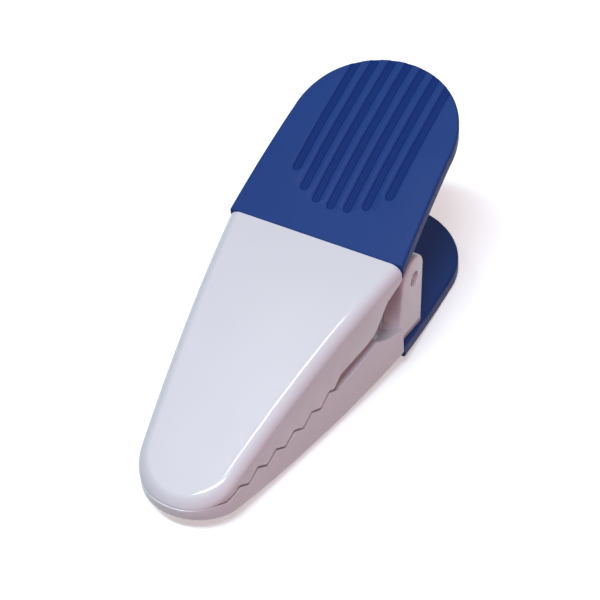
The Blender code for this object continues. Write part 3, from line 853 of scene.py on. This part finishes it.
CAMERA_TARGET = (0.0118, 0.0066, 0.0054)
CAMERA_DISTANCE = 0.42
CAMERA_AZIMUTH = -63.52
CAMERA_ELEVATION = 40.39
CAMERA_ROLL = 1.63
CAMERA_LENS = 118.08
CAMERA_SENSOR = 36
CAMERA_NEAR = 0.01
FLOOR_HALF_SIZE = 2.0
FLOOR_DROP = 0.0002
WORLD_STRENGTH = 0.5
LIGHTS_AIM = (0, 0, 0.015)


def camera():
    """Camera turned round its target by azimuth and elevation, then rolled."""
    data = bpy.data.cameras.new("camera")
    data.lens = CAMERA_LENS
    data.sensor_width = CAMERA_SENSOR
    data.clip_start = CAMERA_NEAR
    eye = bpy.data.objects.new("camera", data)
    bpy.context.scene.collection.objects.link(eye)
    azimuth, elevation = math.radians(CAMERA_AZIMUTH), math.radians(CAMERA_ELEVATION)
    back = Vector((math.sin(azimuth) * math.cos(elevation), -math.cos(azimuth) * math.cos(elevation),
                   math.sin(elevation)))
    level = Vector((math.cos(azimuth), math.sin(azimuth), 0))
    upright = back.cross(level)
    roll = math.radians(CAMERA_ROLL)
    right = math.cos(roll) * level + math.sin(roll) * upright
    up = math.cos(roll) * upright - math.sin(roll) * level
    turn = Matrix((right, up, back)).transposed().to_4x4()
    eye.matrix_world = Matrix.Translation(Vector(CAMERA_TARGET) + CAMERA_DISTANCE * back) @ turn
    bpy.context.scene.camera = eye


def softbox(name, place, size, power, colour):
    """Rectangular light at a place, facing the clip, its size given along X and across it."""
    data = bpy.data.lights.new(name, "AREA")
    data.shape = "RECTANGLE"
    data.size, data.size_y = size
    data.energy = power
    data.color = colour
    lamp = bpy.data.objects.new(name, data)
    bpy.context.scene.collection.objects.link(lamp)
    back = (Vector(place) - Vector(LIGHTS_AIM)).normalized()
    along = (Vector((1, 0, 0)) - back.x * back).normalized()
    turn = Matrix((along, back.cross(along), back)).transposed().to_4x4()
    lamp.matrix_world = Matrix.Translation(place) @ turn
    return lamp


def stage():
    """Floor, world and lamps; a lamp is given as name, place, size, power and colour."""
    mesh = bpy.data.meshes.new("floor")
    bm = bmesh.new()
    bmesh.ops.create_grid(bm, x_segments=1, y_segments=1, size=FLOOR_HALF_SIZE)
    bm.to_mesh(mesh)
    bm.free()
    floor = bpy.data.objects.new("floor", mesh)
    bpy.context.scene.collection.objects.link(floor)
    floor.location.z = -FLOOR_DROP
    mesh.materials.append(floor_material())
    floor.visible_diffuse = False    # no light thrown up from the floor, which would grey the sides

    world = bpy.data.worlds.new("studio")
    bpy.context.scene.world = world
    world.use_nodes = True
    background = world.node_tree.nodes["Background"]
    background.inputs["Strength"].default_value = WORLD_STRENGTH
    background.inputs["Color"].default_value = (1, 1, 1, 1)
    world.cycles_visibility.diffuse = False
    bpy.context.scene.view_settings.view_transform = "Standard"

    softbox("key", (-0.85, 0, 1.6), (0.2, 0.9), 27.0, (0.72, 0.89, 0.98))
    softbox("side", (0.64, -0.64, 1.56), (0.9, 0.9), 1.2, (1.0, 0.8, 0.85))
    softbox("back", (1.29, 0.6, 1.12), (0.6, 0.6), 3.0, (1.0, 0.9, 0.92))
    near = softbox("near_fill", (-1.0, -1.35, 0.7), (1.0, 0.7), 14.2, (1.0, 0.53, 0.61))
    far = softbox("far_fill", (0.5, 1.6, 0.7), (1.0, 0.7), 8.0, (1.0, 0.92, 0.95))
    near.visible_glossy = far.visible_glossy = False    # no reflections of them in the gloss
    line = softbox("strip", (-0.05, 0.1, 0.7), (0.4, 0.02), 2.8, (0.9, 0.95, 1.0))
    line.visible_diffuse = False    # it only draws the bright line along the cover's edge


def main():
    white = white_plastic()
    blue = blue_plastic("blue_satin_plastic", BLUE, BLUE_CLOUDED, 0.35)
    # painted shade: the same blue plastic, darker in colour for the shade in the grooves, and a little
    # rougher
    groove_painted_shade_blue = blue_plastic("blue_groove_painted_shade", GROOVE_PAINTED_SHADE_BLUE, GROOVE_PAINTED_SHADE_BLUE_CLOUDED, 0.45)
    metal = drawn_steel()
    jaws(white)
    grips(blue, groove_painted_shade_blue)
    pin(metal)
    spring(metal)
    camera()
    stage()


main()
